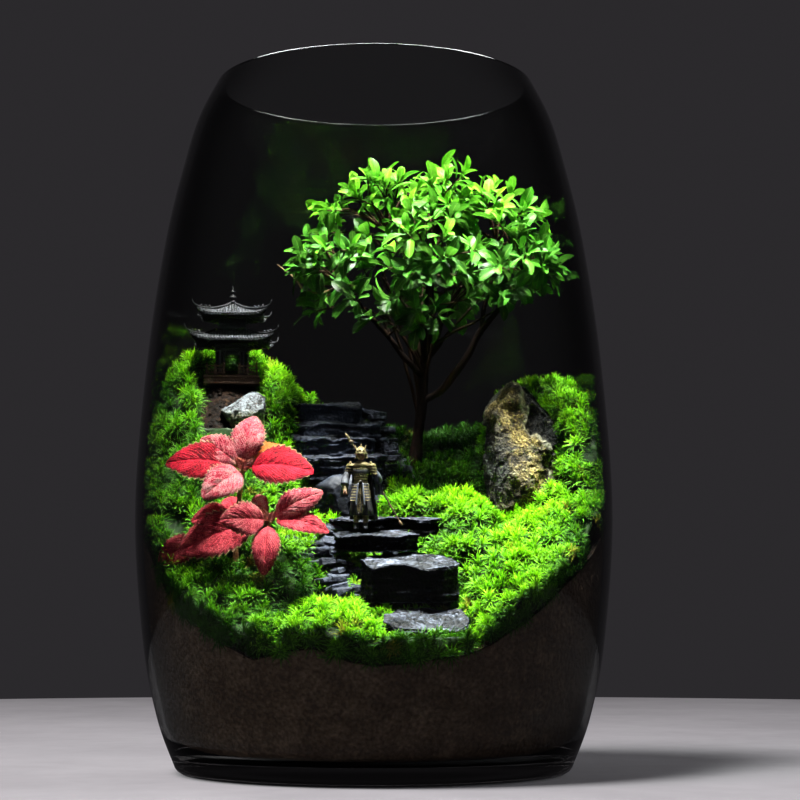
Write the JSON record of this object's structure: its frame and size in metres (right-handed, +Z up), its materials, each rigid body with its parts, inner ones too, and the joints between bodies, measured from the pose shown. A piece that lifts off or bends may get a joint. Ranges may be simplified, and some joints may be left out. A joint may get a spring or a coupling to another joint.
{
  "type": "glass plant terrarium",
  "caption": "Open barrel-shaped glass jar holding a sloping moss garden with a small tree, red-leaved plant, slate stair, rocks, pavilion and standing figure.",
  "frame": {"origin": "centre of the jar's underside, on the surface it stands on", "axes": "+Z up along the jar's axis, -Y towards the front of the scene, +X to the viewer's right"},
  "size_m": [0.2048, 0.2048, 0.3],
  "materials": {
    "glass": "gloss",
    "soil": "matte",
    "moss": "matte",
    "slate": "satin",
    "boulder": "satin",
    "rock": "matte",
    "pale_rock": "matte",
    "bark": "matte",
    "leaf": "satin",
    "red_leaf": "satin",
    "stem": "matte",
    "cast_metal": "satin",
    "bronze": "satin"
  },
  "bodies": {
    "root": {"glass_jar": "glass", "slate_step_1": "slate", "slate_step_2": "slate", "slate_step_3": "slate", "slate_step_4": "slate", "slate_step_5": "slate", "slate_step_6": "slate", "slate_step_7": "slate", "slate_step_8": "slate", "feature_rock": "rock", "pale_rock": "pale_rock", "boulder": "boulder", "dark_chip": "slate", "front_pebble": "boulder", "pavilion_plinth": "cast_metal", "pavilion_railing": "cast_metal", "pavilion_lower_storey": "cast_metal", "pavilion_lower_roof": "cast_metal", "pavilion_upper_storey": "cast_metal", "pavilion_upper_roof": "cast_metal", "pavilion_finial": "cast_metal", "figurine": "bronze", "figurine_spear": "bronze", "soil_bed": "soil", "moss_front_centre": "moss", "moss_front_left": "moss", "moss_left_slope": "moss", "moss_left_hill": "moss", "moss_stair_tuft": "moss", "moss_pavilion_shoulder": "moss", "moss_back": "moss", "moss_tree_foot": "moss", "moss_centre": "moss", "moss_right_front": "moss", "moss_right_slope": "moss", "moss_right_bank": "moss", "tree": "bark", "foliage_left": "leaf", "foliage_right": "leaf", "foliage_crown_left": "leaf", "foliage_crown_right": "leaf", "foliage_crown_top": "leaf", "foliage_front": "leaf", "foliage_back": "leaf", "red_plant_stem_1": "stem", "red_plant_stem_2": "stem", "red_plant_leaf_01": "red_leaf", "red_plant_leaf_02": "red_leaf", "red_plant_leaf_03": "red_leaf", "red_plant_leaf_04": "red_leaf", "red_plant_leaf_05": "red_leaf", "red_plant_leaf_06": "red_leaf", "red_plant_leaf_07": "red_leaf", "red_plant_leaf_08": "red_leaf", "red_plant_leaf_09": "red_leaf", "red_plant_leaf_10": "red_leaf", "red_plant_leaf_11": "red_leaf", "red_plant_leaf_12": "red_leaf"}
  },
  "joints": []
}
